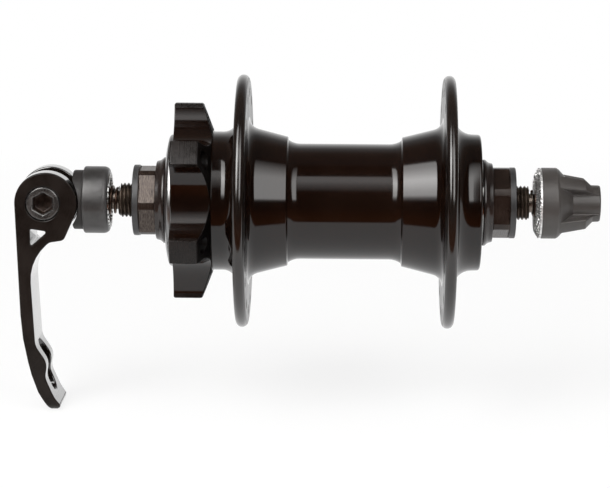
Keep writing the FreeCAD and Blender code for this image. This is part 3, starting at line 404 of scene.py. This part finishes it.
def tool_finish(name, dark, light, metallic, roughness, marks=0.0, pitch=0.1, grain=0.0,
                grain_size=0.2, along=None, patch_size=8.0, spread=0.25, ior=1.5):
    """Metal or plastic with tool marks round the axle or across the direction "along", a fine grain
    and slow changes of tone and gloss. Sizes are in millimetres, marks and grain in micrometres."""
    finish = bpy.data.materials.new(name)
    finish.use_nodes = True
    nodes = finish.node_tree.nodes
    links = finish.node_tree.links
    skin = nodes["Principled BSDF"]
    skin.inputs["Metallic"].default_value = metallic
    skin.inputs["IOR"].default_value = ior
    place = nodes.new("ShaderNodeTexCoord")
    patches = nodes.new("ShaderNodeTexNoise")
    patches.inputs["Scale"].default_value = 1000 / patch_size
    patches.inputs["Detail"].default_value = 5
    tone = nodes.new("ShaderNodeValToRGB")
    fill_ramp(tone, [(0.35, dark), (0.68, light)])
    links.new(place.outputs["Object"], patches.inputs["Vector"])
    links.new(patches.outputs["Fac"], tone.inputs["Fac"])
    links.new(tone.outputs["Color"], skin.inputs["Base Color"])
    if along is None:
        radial = nodes.new("ShaderNodeVectorMath")
        radial.operation = "MULTIPLY"
        radial.inputs[1].default_value = (0, 1, 1)
        length = nodes.new("ShaderNodeVectorMath")
        length.operation = "LENGTH"
        parts = nodes.new("ShaderNodeSeparateXYZ")
        links.new(place.outputs["Object"], radial.inputs[0])
        links.new(radial.outputs["Vector"], length.inputs[0])
        links.new(place.outputs["Object"], parts.inputs["Vector"])
        across = add_math(nodes, links, "ADD", parts.outputs["X"], length.outputs["Value"])
    else:
        dot = nodes.new("ShaderNodeVectorMath")
        dot.operation = "DOT_PRODUCT"
        dot.inputs[1].default_value = along
        links.new(place.outputs["Object"], dot.inputs[0])
        across = dot.outputs["Value"]
    lines = nodes.new("ShaderNodeTexNoise")
    lines.noise_dimensions = "1D"
    lines.inputs["Scale"].default_value = 1000 / pitch
    lines.inputs["Detail"].default_value = 4
    lines.inputs["Roughness"].default_value = 0.65
    links.new(across, lines.inputs["W"])
    gloss = nodes.new("ShaderNodeMapRange")
    gloss.inputs["From Min"].default_value = 0.1
    gloss.inputs["From Max"].default_value = 0.4
    gloss.inputs["To Min"].default_value = roughness * (1 - spread)
    gloss.inputs["To Max"].default_value = roughness * (1 + spread)
    worn = add_math(nodes, links, "MULTIPLY", lines.outputs["Fac"], patches.outputs["Fac"])
    links.new(worn, gloss.inputs["Value"])
    links.new(gloss.outputs["Result"], skin.inputs["Roughness"])
    reliefs = [(lines, marks)] if marks else []
    if grain:
        speck = nodes.new("ShaderNodeTexNoise")
        speck.inputs["Scale"].default_value = 1000 / grain_size
        speck.inputs["Detail"].default_value = 3
        links.new(place.outputs["Object"], speck.inputs["Vector"])
        reliefs.append((speck, grain))
    last = None
    for pattern, depth in reliefs:
        relief = nodes.new("ShaderNodeBump")
        relief.inputs["Strength"].default_value = 1
        relief.inputs["Distance"].default_value = depth / 1000000
        links.new(pattern.outputs["Fac"], relief.inputs["Height"])
        if last:
            links.new(last.outputs["Normal"], relief.inputs["Normal"])
        last = relief
    if last:
        links.new(last.outputs["Normal"], skin.inputs["Normal"])
    return finish


shell = turn_piece("shell", [
    (-41.1, 13.0),
    (-41.1, 14.3, 0.25),
    (-40.45, 17.2, 0.9),
    (-39.3, 17.4, 0.2),
    (-39.3, 25.7, 0.5),
    (-31.95, 25.7, 0.6),
    (-29.0, 18.2, 0.5),
    (-22.8, 18.2, 3.7),
    (-22.8, 33.146, 1.42),
    (-19.8, 33.146, 1.42),
    (-19.8, 19.6, 3.2),
    (-9.6, 16.95, 0.3),
    (-9.42, 16.11),
    (-8.694, 15.63, 5.5),
    (-7.122, 15.15, 5.5),
    (17.822, 15.15, 5.5),
    (19.394, 15.63, 5.5),
    (20.12, 16.11),
    (20.3, 16.95, 0.3),
    (31.0, 19.65, 3.2),
    (31.0, 33.146, 1.42),
    (34.0, 33.146, 1.42),
    (34.0, 18.1, 4.6),
    (40.8, 17.8, 0.7),
    (40.8, 13.0, 0.15),
    (33.37, 13.0),
    (33.37, 11.15),
    (-33.37, 11.15),
    (-33.37, 13.0),
], steps=192)
lug_turn = radians(-7.5)
lug_step = pi / 3
bolt_reach = 22
valley_reach = 30.1
valley = add_rod("valley", (-42.5, 0, valley_reach), (-28.99, 0, valley_reach), 11.6, around=120)
cut_with(shell, repeat_round(valley, 6, lug_turn + lug_step / 2))
bolt_hole = add_rod("bolt_hole", (-42, 0, bolt_reach), (-28, 0, bolt_reach), 2.1)
cut_with(shell, repeat_round(bolt_hole, 6, lug_turn))
spoke_holes = 16
for start, end, reach, first in ((-24, -18.6, 28.7, lug_turn),
                                 (29.8, 35.2, 29.3, lug_turn - pi / spoke_holes)):
    spoke_hole = add_rod("spoke_hole", (start, 0, reach), (end, 0, reach), 1.3, around=24)
    cut_with(shell, repeat_round(spoke_hole, spoke_holes, first))
break_edges(shell, 0.22, steps=3)
anodising = tool_finish("black_anodising", (0.0042, 0.0017, 0.001), (0.0068, 0.003, 0.0018),
                        0.0, 0.105, marks=0.7, pitch=0.17, grain=0.12, grain_size=0.5,
                        patch_size=14)
lug_black = tool_finish("turned_lug_black", (0.004, 0.0024, 0.0017), (0.009, 0.006, 0.005),
                        0.0, 0.28, marks=5.0, pitch=0.3, grain=1.0, grain_size=0.3, patch_size=3,
                        spread=0.5, ior=1.34)
faced_black = tool_finish("faced_flange_black", (0.0045, 0.003, 0.0022), (0.0075, 0.005, 0.004),
                          0.0, 0.26, marks=1.2, pitch=0.2, patch_size=9)
milled_black = tool_finish("milled_slope_black", (0.0025, 0.0016, 0.0012), (0.0045, 0.003, 0.0024),
                           0.0, 0.5, marks=2.0, pitch=0.3, patch_size=6, ior=1.3)
rim_black = tool_finish("turned_rim_black", (0.005, 0.003, 0.0022), (0.0085, 0.0056, 0.0044),
                        0.0, 0.15, marks=1.0, pitch=0.2, patch_size=9, ior=1.68)
bare_metal = tool_finish("bare_turned_aluminium", (0.22, 0.22, 0.22), (0.34, 0.34, 0.34), 1.0, 0.3,
                         marks=1.5, pitch=0.15, patch_size=5)
shell_finishes = [anodising, lug_black, faced_black, milled_black, rim_black, bare_metal]
for finish in shell_finishes:
    shell.data.materials.append(finish)
# Where one finish ends and the next begins: places along the axle and reaches away from it.
pilot_end = -0.0394
lug_front = -0.0392
lug_back = -0.0288
pilot_foot = 0.0141
pilot_top = 0.0176
lug_foot = 0.0188
lug_top = 0.0246
flange_foot = 0.0235
flange_rim = 0.0325
hole_edge = 0.00235
for face in shell.data.polygons:
    along = face.center.x
    away = from_axle(shell, face)
    turned = atan2(-face.center.y, face.center.z) - lug_turn
    turned = (turned + lug_step / 2) % lug_step - lug_step / 2
    to_hole = Vector((away * cos(turned) - bolt_reach / 1000, away * sin(turned))).length
    milled = face.normal.x > 0.2 or to_hole < hole_edge
    if along < pilot_end and pilot_foot < away < pilot_top:
        finish = bare_metal
    elif lug_front < along < lug_back and milled and away > lug_foot:
        finish = milled_black
    elif along < lug_back and away > lug_top:
        finish = lug_black
    elif away > flange_rim:
        finish = rim_black
    elif along > lug_back and away > flange_foot and abs(face.normal.x) > 0.8:
        finish = faced_black
    else:
        finish = anodising
    face.material_index = shell_finishes.index(finish)
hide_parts("hub_shell")
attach(shell, "shell")


# Bearings: hardened cups pressed into the shell, ten polished balls a side, cones and dark dust
# rings. They sit behind the seals, so the frame's own solids stay.
def finish_node(name, finish):
    """Give one of the frame's own solids its finish."""
    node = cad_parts[name]
    node.data.materials.clear()
    node.data.materials.append(finish)


hard_steel = tool_finish("ground_bearing_steel", (0.42, 0.42, 0.41), (0.56, 0.56, 0.55), 1.0, 0.16,
                         marks=0.4, pitch=0.06)
polished_steel = tool_finish("polished_ball_steel", (0.62, 0.62, 0.62), (0.7, 0.7, 0.7), 1.0, 0.05,
                             grain=0.1, grain_size=0.8)
dust_ring = tool_finish("blackened_dust_ring", (0.03, 0.028, 0.027), (0.05, 0.047, 0.045),
                        0.6, 0.35, marks=0.8, pitch=0.1)
for side in ("left", "right"):
    for part, finish in (("bearing_cup", hard_steel), ("balls", polished_steel),
                         ("cone", hard_steel), ("dust_ring", dust_ring)):
        finish_node(side + "_" + part, finish)


# Axle: a hollow steel rod with a fine rolled thread along it, which the cones and locknuts are
# screwed on to. It is blackened in oil and worn to a dull brown in places.
def thread_rod(name, start, end, crest, root, pitch, around=32):
    """A rod with a real screw thread: one pitch of its outline is swept along a helix and the ends
    are cut off square."""
    half = pitch / 2
    first = start - 2 * pitch
    shoulder = root + 0.6 * (crest - root)
    piece = draw_line(name, [
        Vector((first, root)),
        Vector((first + 0.44 * half, shoulder)),
        Vector((first + 0.86 * half, crest)),
        Vector((first + 1.14 * half, crest)),
        Vector((first + 1.56 * half, shoulder)),
        Vector((first + 2 * half, root)),
    ])
    bpy.ops.object.mode_set(mode="OBJECT")
    screw = piece.modifiers.new("screw", "SCREW")
    screw.axis = "X"
    screw.angle = 2 * pi
    screw.screw_offset = pitch / 1000
    screw.iterations = round((end - start) / pitch) + 4
    screw.steps = around
    screw.render_steps = around
    screw.use_merge_vertices = True
    screw.merge_threshold = 0.000001
    bpy.ops.object.modifier_apply(modifier=screw.name)
    bpy.ops.object.mode_set(mode="EDIT")
    bpy.ops.mesh.select_all(action="SELECT")
    bpy.ops.mesh.remove_doubles(threshold=0.000001)
    for place, side in ((start, -1), (end, 1)):
        bpy.ops.mesh.select_all(action="SELECT")
        bpy.ops.mesh.bisect(plane_co=(place / 1000, 0, 0), plane_no=(side, 0, 0), use_fill=True,
                            clear_outer=True)
    bpy.ops.mesh.select_all(action="SELECT")
    bpy.ops.mesh.normals_make_consistent(inside=False)
    bpy.ops.object.mode_set(mode="OBJECT")
    return piece


axle = thread_rod("threaded_axle", -54, 54, 4.5, 3.9, 1.0)
cut_with(axle, turn_piece("axle_blank", [
    (-53.999, 2.58, 0.1),
    (53.999, 2.58, 0.1),
    (53.999, 3.8),
    (53.3, 4.6),
    (-53.3, 4.6),
    (-53.999, 3.8),
], steps=48), keep_common=True)
bpy.ops.object.shade_smooth_by_angle(angle=radians(24))
oiled_steel = tool_finish("black_oxide_thread", (0.035, 0.025, 0.019), (0.1, 0.075, 0.058),
                          0.7, 0.3, grain=1.5, grain_size=0.12, patch_size=2.5)
axle.data.materials.append(oiled_steel)
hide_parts("axle")
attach(axle, "axle_set")


# Lock washers and locknuts: each nut is turned with a thin round face that bites on the fork end,
# and six flats are cut behind it for a 17 mm wrench. The brake side's flats have bumps for a saw's
# fine streaks and a lighter, streaky tone that is a painted glint of the soft box.
lock_washer_finish = tool_finish("lock_washer_steel", (0.1, 0.095, 0.09), (0.16, 0.15, 0.145),
                                 0.9, 0.3, marks=0.8, pitch=0.12)
nut_black = tool_finish("locknut_black", (0.018, 0.011, 0.0085), (0.032, 0.021, 0.016), 0.35, 0.24,
                        marks=1.0, pitch=0.12, grain=0.4, grain_size=0.25)
face_grey = tool_finish("locknut_face", (0.045, 0.045, 0.046), (0.07, 0.069, 0.07), 0.5, 0.42,
                        marks=1.6, pitch=0.1, grain=0.8, grain_size=0.15)
# Painted glint: the lighter, streaky tone stands for the soft box mirrored in the flats; the bumps
# are the saw's streaks.
streaked_flat_painted_glint = tool_finish("streaked_flat_painted_glint", (0.02, 0.012, 0.0085), (0.11, 0.087, 0.073), 0.45, 0.34,
                        marks=16.0, pitch=0.34, grain=12.0, grain_size=0.3, along=(1, 0, 0),
                        patch_size=0.17)
nodes = streaked_flat_painted_glint.node_tree.nodes
links = streaked_flat_painted_glint.node_tree.links
nodes["Color Ramp"].color_ramp.elements[0].position = 0.36
# The tone's noise is stretched into streaks round the nut, as part of the painted glint.
stretch = nodes.new("ShaderNodeMapping")
stretch.inputs["Scale"].default_value = (1, 0.16, 0.16)
links.new(nodes["Texture Coordinate"].outputs["Object"], stretch.inputs["Vector"])
links.new(stretch.outputs["Vector"], nodes["Noise Texture"].inputs["Vector"])
flat_height = 0.0085
block_size = (0.005, 0.02, 0.0044)
flat_end = 0.0483
disc_start = 0.0486
disc_bore = 0.006
for side, sign, hex_turn in (("left", -1, 28.5), ("right", 1, 4.0)):
    finish_node(side + "_lock_washer", lock_washer_finish)
    nut = turn_piece(side + "_nut", [
        (44.0, 4.52),
        (50.0, 4.52, 0.25),
        (50.0, 9.3, 0.3),
        (48.45, 9.3, 0.12),
        (48.3, 9.2, 0.1),
        (48.15, 9.3, 0.12),
        (44.0, 9.3, 0.3),
    ], steps=144)
    nut.data.materials.append(nut_black)
    nut.data.materials.append(face_grey)
    nut.data.materials.append(streaked_flat_painted_glint)
    bpy.ops.object.select_all(action="DESELECT")
    bpy.ops.mesh.primitive_cube_add(size=1)
    block = bpy.context.object
    place = Matrix.Translation((0.0458, 0, flat_height + block_size[2] / 2))
    block.data.transform(place @ Matrix.Diagonal((*block_size, 1)))
    bpy.ops.object.mode_set(mode="EDIT")
    bpy.ops.mesh.select_all(action="SELECT")
    bpy.ops.mesh.subdivide(number_cuts=1)
    bpy.ops.object.mode_set(mode="OBJECT")
    cut_with(nut, repeat_round(block, 6, pi / 6))
    break_edges(nut, 0.13)
    for face in nut.data.polygons:
        level = face.normal.y * face.center.y + face.normal.z * face.center.z
        on_flat = abs(level - flat_height) < 0.0002 and face.area > 0.00001
        if face.center.x > disc_start and from_axle(nut, face) > disc_bore:
            face.material_index = 1
        # Only the brake side's flats get the painted glint finish.
        elif sign < 0 and face.center.x < flat_end and on_flat:
            face.material_index = 2
    spin = Matrix.Rotation(radians(hex_turn), 4, "X")
    side_turn = Matrix.Rotation(pi if sign < 0 else 0, 4, "Z")
    nut.data.transform(side_turn @ spin)
    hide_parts(side + "_locknut")
    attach(nut, "axle_set")


# Seal boots: dark glossy rings pressed over the cones, which cover the bearings and meet the
# shell's end with a narrow running gap.
boot_rubber = tool_finish("seal_boot_black", (0.013, 0.009, 0.008), (0.022, 0.016, 0.014),
                          0.0, 0.16, marks=0.5, pitch=0.2, grain=0.5, grain_size=0.4)
for side, sign in (("left", -1), ("right", 1)):
    boot = turn_piece(side + "_boot", [
        (41.4, 9.3),
        (41.4, 11.4, 0.3),
        (42.1, 11.3, 0.5),
        (42.9, 10.6, 0.8),
        (44.0, 10.3, 0.25),
        (44.0, 8.02, 0.1),
        (42.75, 8.02),
        (42.75, 9.3),
    ], steps=144)
    boot.data.transform(Matrix.Rotation(pi if sign < 0 else 0, 4, "Z"))
    boot.data.materials.append(boot_rubber)
    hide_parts(side + "_seal_boot")
    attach(boot, "axle_set")


# Skewer rod: a bright steel rod through the hollow axle. Its left end is fixed in the pivot barrel
# and its right end is threaded for the adjusting nut.
rod = turn_piece("skewer_rod_plain", [
    (-76.2, 0),
    (56.0, 0),
    (56.0, 2.1),
    (54.6, 2.5, 0.3),
    (-75.9, 2.5, 0.2),
    (-76.2, 2.2),
], steps=48)
screwed_end = thread_rod("skewer_thread", 55.5, 67.19, 2.5, 2.05, 0.8, around=24)
cut_with(screwed_end, turn_piece("rod_blank", [
    (55.0, 0),
    (67.18, 0),
    (67.18, 1.8),
    (66.5, 2.55),
    (55.0, 2.55),
], steps=48), keep_common=True)
bpy.ops.object.shade_smooth_by_angle(angle=radians(24))
rod = join_pieces([rod, screwed_end])
rod_steel = tool_finish("skewer_rod_steel", (0.14, 0.115, 0.095), (0.24, 0.205, 0.18), 1.0, 0.28,
                        marks=1.0, pitch=0.1)
rod.data.materials.clear()
rod.data.materials.append(rod_steel)
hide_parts("skewer_rod")
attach(rod, "skewer")


# Pivot barrel: a turned steel cross pin on which the lever swings. Both ends are bevelled, and the
# front one has a broached hexagon socket with a drilled centre.
pivot_x = -73.3
pivot = Vector((pivot_x / 1000, 0, 0))
barrel = add_rod("pivot_barrel_pin", (pivot_x, 7.9, 0), (pivot_x, -7.9, 0), 4.45, around=96)
cut_with(barrel, add_rod("socket", (pivot_x, -9, 0), (pivot_x, -4.9, 0), 2.887, around=6))
cut_with(barrel, add_rod("drill", (pivot_x, -5, 0), (pivot_x, -3.6, 0), 1.9, taper=0.15))
cut_with(barrel, add_rod("rod_hole", (pivot_x - 3.02, 0, 0), (pivot_x + 6, 0, 0), 2.52))
break_edges(barrel, 0.55, limit=60, steps=3)
pin_steel = tool_finish("pivot_pin_steel", (0.08, 0.077, 0.075), (0.16, 0.155, 0.15), 0.8, 0.28,
                        grain=1.2, grain_size=0.2, patch_size=3)
barrel.data.materials.append(pin_steel)
# The socket's faces inside the pin get a darker brown tone than the pin itself.
darker_socket = tool_finish("oily_socket_brown", (0.016, 0.008, 0.005), (0.04, 0.024, 0.017),
                          0.4, 0.4, grain=2.0, grain_size=0.3, patch_size=2)
barrel.data.materials.append(darker_socket)
socket_mouth = -0.0068
socket_end = -0.003
socket_reach = 0.0031
for face in barrel.data.polygons:
    from_middle = Vector((face.center.x - pivot.x, face.center.z)).length
    if socket_mouth < face.center.y < socket_end and from_middle < socket_reach:
        face.material_index = 1
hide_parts("pivot_barrel")
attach(barrel, "skewer")


# Lever: forged aluminium with two eccentric ears that grip the pivot barrel, a small window under
# them, a finger rise and a slotted paddle, finished in satin black.
def draw_block(name, points, depth, face):
    """A flat outline drawn in X and Z and given a depth along Y. With face "side" it is turned so
    that its first coordinate runs along Y instead."""
    block = draw_line(name, points + points[:1])
    bpy.ops.mesh.select_all(action="SELECT")
    bpy.ops.mesh.remove_doubles(threshold=0.000001)
    bpy.ops.mesh.edge_face_add()
    bpy.ops.transform.translate(value=(0, -depth / 2000, 0))
    bpy.ops.mesh.extrude_region_move(TRANSFORM_OT_translate={"value": (0, depth / 1000, 0)})
    bpy.ops.mesh.select_all(action="SELECT")
    bpy.ops.mesh.normals_make_consistent(inside=False)
    bpy.ops.object.mode_set(mode="OBJECT")
    if face == "side":
        block.data.transform(Matrix.Rotation(pi / 2, 4, "Z"))
    return block


ear_centre = 0.75
ear_radius = 8.2
ear_steps = 48
outline = rounded([
    (-7.45, 0.0),
    (-6.0, -36.0, 62),
    (-2.3, -50.6, 36),
    (1.2, -55.4, 1.8),
    (4.9, -55.1, 1.1),
    (2.4, -51.8, 9),
    (0.05, -46.4, 4),
    (0.75, -42.6, 4.5),
    (-2.4, -37.9, 4.5),
    (-3.7, -14.9, 12.5),
    (1.6, -10.3, 2),
    (5.4, -9.7, 1.6),
    (8.182, -3.465),
])
start_angle = radians(-25)
for step in range(1, ear_steps):
    angle = start_angle + (pi - start_angle) * step / ear_steps
    outline.append(Vector((ear_centre + ear_radius * cos(angle), ear_radius * sin(angle))))
lever = draw_block("lever_arm", outline, 16, "front")
beyond_tip = draw_block("tip_left", rounded([
    (-12, -48),
    (-8, -48),
    (-8, -55.5, 3.6),
    (8, -55.5, 3.6),
    (8, -48),
    (12, -48),
    (12, -60),
    (-12, -60),
]), 60, "side")
cut_with(lever, beyond_tip)
cut_with(lever, add_rod("pivot_bore", (0, -12, 0), (0, 12, 0), 4.5, around=96))
window = rounded([(-3.4, -6.7, 0.4), (-3.4, -11.4, 0.4), (1.1, -7.4, 0.4)])
cut_with(lever, draw_block("window", window, 30, "front"))
ear_slot = rounded([(-3.1, -5.2, 1), (3.1, -5.2, 1), (3.1, 14), (-3.1, 14)])
cut_with(lever, draw_block("ear_slot", ear_slot, 60, "side"))
paddle_slot = rounded([(-3.25, -51.2, 2.9), (3.25, -51.2, 2.9), (3.25, -37.6, 2.9),
                       (-3.25, -37.6, 2.9)])
cut_with(lever, draw_block("paddle_slot", paddle_slot, 60, "side"))
break_edges(lever, 0.4, limit=35, steps=3)
lever.data.transform(Matrix.Translation(pivot))
satin_black = tool_finish("satin_black_lever", (0.004, 0.0027, 0.002), (0.0075, 0.0055, 0.0042),
                          0.0, 0.16, grain=0.5, grain_size=0.3, patch_size=6)
skin = satin_black.node_tree.nodes["Principled BSDF"]
skin.inputs["Coat Weight"].default_value = 1
skin.inputs["Coat IOR"].default_value = 1.7
skin.inputs["Coat Roughness"].default_value = 0.06
lever.data.materials.append(satin_black)
forged_side = tool_finish("forged_side_black", (0.007, 0.0048, 0.0038), (0.012, 0.0085, 0.007),
                          0.0, 0.3, grain=1.2, grain_size=0.25, patch_size=6, ior=1.27)
lever.data.materials.append(forged_side)
inside_ears = 0.0042
for face in lever.data.polygons:
    if abs(face.normal.y) > 0.3 and abs(face.center.y) > inside_ears:
        face.material_index = 1
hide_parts("lever")
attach(lever, "lever_arm")


# Cap: turned steel with a rounded rim, bored for its spring and for a grip ring in its face. A
# plastic cam washer lies against its back, hollowed to fit the ears.
cap = turn_piece("cap_body", [
    (56.45, 7.32),
    (56.45, 8.15, 0.9),
    (57.35, 8.8, 1.9),
    (63.1, 8.8, 0.45),
    (63.1, 2.58, 0.2),
    (61.45, 2.58),
    (61.45, 6.0, 0.2),
    (57.9, 6.0),
    (57.9, 7.32),
], steps=144)
cap.data.transform(Matrix.Rotation(pi, 4, "Z"))
cap_steel = tool_finish("satin_cap_steel", (0.045, 0.043, 0.042), (0.085, 0.083, 0.083),
                        0.45, 0.36, marks=2.2, pitch=0.14, grain=1.4, grain_size=0.14, patch_size=5)
cap.data.materials.append(cap_steel)
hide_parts("lever_cap")
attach(cap, "cap")

washer = turn_piece("cam_washer_ring", [
    (63.1, 2.58, 0.1),
    (63.1, 7.8, 0.15),
    (65.9, 7.8, 0.4),
    (65.9, 2.58, 0.1),
], steps=144)
washer.data.transform(Matrix.Rotation(pi, 4, "Z"))
seat_radius = 10.45
seat_x = -64.05 - seat_radius
cut_with(washer, add_rod("cam_seat", (seat_x, -12, 0), (seat_x, 12, 0), seat_radius, around=160))
break_edges(washer, 0.12)
cam_plastic = tool_finish("cam_washer_black", (0.007, 0.005, 0.0045), (0.013, 0.0105, 0.0095),
                          0.0, 0.58, grain=1.6, grain_size=0.2)
washer.data.materials.append(cam_plastic)
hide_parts("cam_washer")
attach(washer, "cap")


# Grip rings: bright hardened steel rings that bite on the outside of the fork ends. The one in the
# cap has 30 milled notches, and the one in the adjusting nut 72 fine teeth rolled up from its face.
ring_face = 56.15
cap_ring = turn_piece("cap_ring", [
    (ring_face, 6.0, 0.1),
    (57.85, 6.0),
    (57.85, 7.28),
    (ring_face, 7.28, 0.1),
], steps=144)
notch_depth = 0.45
notch = draw_block("notch", [
    Vector((ring_face + notch_depth, 0)),
    Vector((ring_face - notch_depth, 1.5 * notch_depth)),
    Vector((ring_face - notch_depth, -1.5 * notch_depth)),
], 24, "front")
notch.data.transform(Matrix.Translation((0, 0.012, 0)))
cut_with(cap_ring, repeat_round(notch, 30))
cap_ring.data.transform(Matrix.Rotation(pi, 4, "Z"))
bright_teeth = tool_finish("bright_tooth_steel", (0.62, 0.62, 0.61), (0.8, 0.8, 0.79), 1.0, 0.24,
                           marks=1.0, pitch=0.15, grain=30.0, grain_size=0.35)
cap_ring.data.materials.append(bright_teeth)
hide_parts("cap_grip_ring")
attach(cap_ring, "cap")

nut_ring = turn_piece("nut_ring", [
    (55.4, 6.0, 0.1),
    (58.35, 6.0),
    (58.35, 6.78),
    (56.8, 6.78),
    (56.8, 9.18, 0.1),
    (56.45, 9.2, 0.1),
    (55.4, 7.5, 0.1),
], steps=288)
fine_teeth = 72
tooth_height = 0.0004
ring_back = 0.0567
for point in nut_ring.data.vertices:
    if point.co.x < ring_back:
        tooth = (atan2(point.co.z, point.co.y) / (2 * pi) * fine_teeth) % 1
        point.co.x -= tooth_height * (1 - abs(2 * tooth - 1))
bpy.ops.object.shade_smooth_by_angle(angle=radians(15))
sharp_teeth = tool_finish("sharp_tooth_steel", (0.6, 0.6, 0.6), (0.97, 0.96, 0.95), 1.0, 0.3,
                          marks=10.0, pitch=0.5, grain=360.0, grain_size=0.6, patch_size=0.8)
nut_ring.data.materials.append(sharp_teeth)
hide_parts("nut_grip_ring")
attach(nut_ring, "nut")


# Adjusting nut: moulded charcoal plastic over a brass thread, with a round flange, four finger ribs
# and a hollow between each two, and a mould's fine grain all over.
nut_cap = turn_piece("nut_cap", [
    (56.8, 6.82),
    (56.8, 9.3, 0.2),
    (60.75, 9.3, 0.7),
    (61.3, 8.9, 0.4),
    (68.2, 7.5, 0.5),
    (70.1, 5.4, 0.5),
    (72.2, 4.75, 0.7),
    (72.2, 0),
    (71.0, 0),
    (71.0, 2.58),
    (65.4, 2.58),
    (65.4, 3.82),
    (60.4, 3.82),
    (60.4, 6.0, 0.3),
    (58.4, 6.0),
    (58.4, 6.82),
], steps=144)
hollow = turn_piece("hollow", [
    (61.3, 8.95),
    (64.9, 5.0, 0.5),
    (72.9, 4.75),
    (72.9, 12.0),
    (61.3, 12.0),
], steps=22, sweep=radians(62))
middle = sum((point.co for point in hollow.data.vertices), Vector())
hollow.data.transform(Matrix.Rotation(atan2(middle.y, middle.z), 4, "X"))
cut_with(nut_cap, repeat_round(hollow, 4))
break_edges(nut_cap, 0.3, limit=30, steps=3)
nut_cap.data.transform(Matrix.Rotation(radians(-4), 4, "X"))
moulded = tool_finish("moulded_charcoal", (0.034, 0.03, 0.028), (0.05, 0.045, 0.042), 0.0, 0.37,
                      grain=4.0, grain_size=0.22, patch_size=9)
nut_cap.data.materials.append(moulded)
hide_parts("skewer_nut")
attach(nut_cap, "nut")

brass = tool_finish("turned_brass", (0.55, 0.38, 0.14), (0.68, 0.5, 0.22), 1.0, 0.24,
                    marks=1.0, pitch=0.12)
finish_node("nut_threaded_insert", brass)


# Conical springs: oiled spring wire, one in the cap and one in the nut, which push the two ends off
# the fork when the lever opens. Each stands on the axle's end.
spring_wire = tool_finish("oiled_spring_wire", (0.045, 0.026, 0.018), (0.1, 0.064, 0.046),
                          0.85, 0.3, grain=1.0, grain_size=0.2, patch_size=2)
for side, axle_end, seat, seat_body in (("left", -0.054, -0.06145, "cap"),
                                        ("right", 0.054, 0.0604, "nut_carrier")):
    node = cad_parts[side + "_spring"]
    spring = bpy.data.objects.new(side + "_conical_spring", node.data.copy())
    spring.data.transform(node.matrix_world)
    bpy.context.scene.collection.objects.link(spring)
    pick(spring)
    bpy.ops.object.mode_set(mode="EDIT")
    bpy.ops.mesh.select_all(action="SELECT")
    bpy.ops.mesh.remove_doubles(threshold=0.0000005)
    bpy.ops.object.mode_set(mode="OBJECT")
    bpy.ops.object.shade_smooth_by_angle(angle=radians(30))
    spring.data.materials.clear()
    spring.data.materials.append(spring_wire)
    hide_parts(side + "_spring")
    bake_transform(spring)
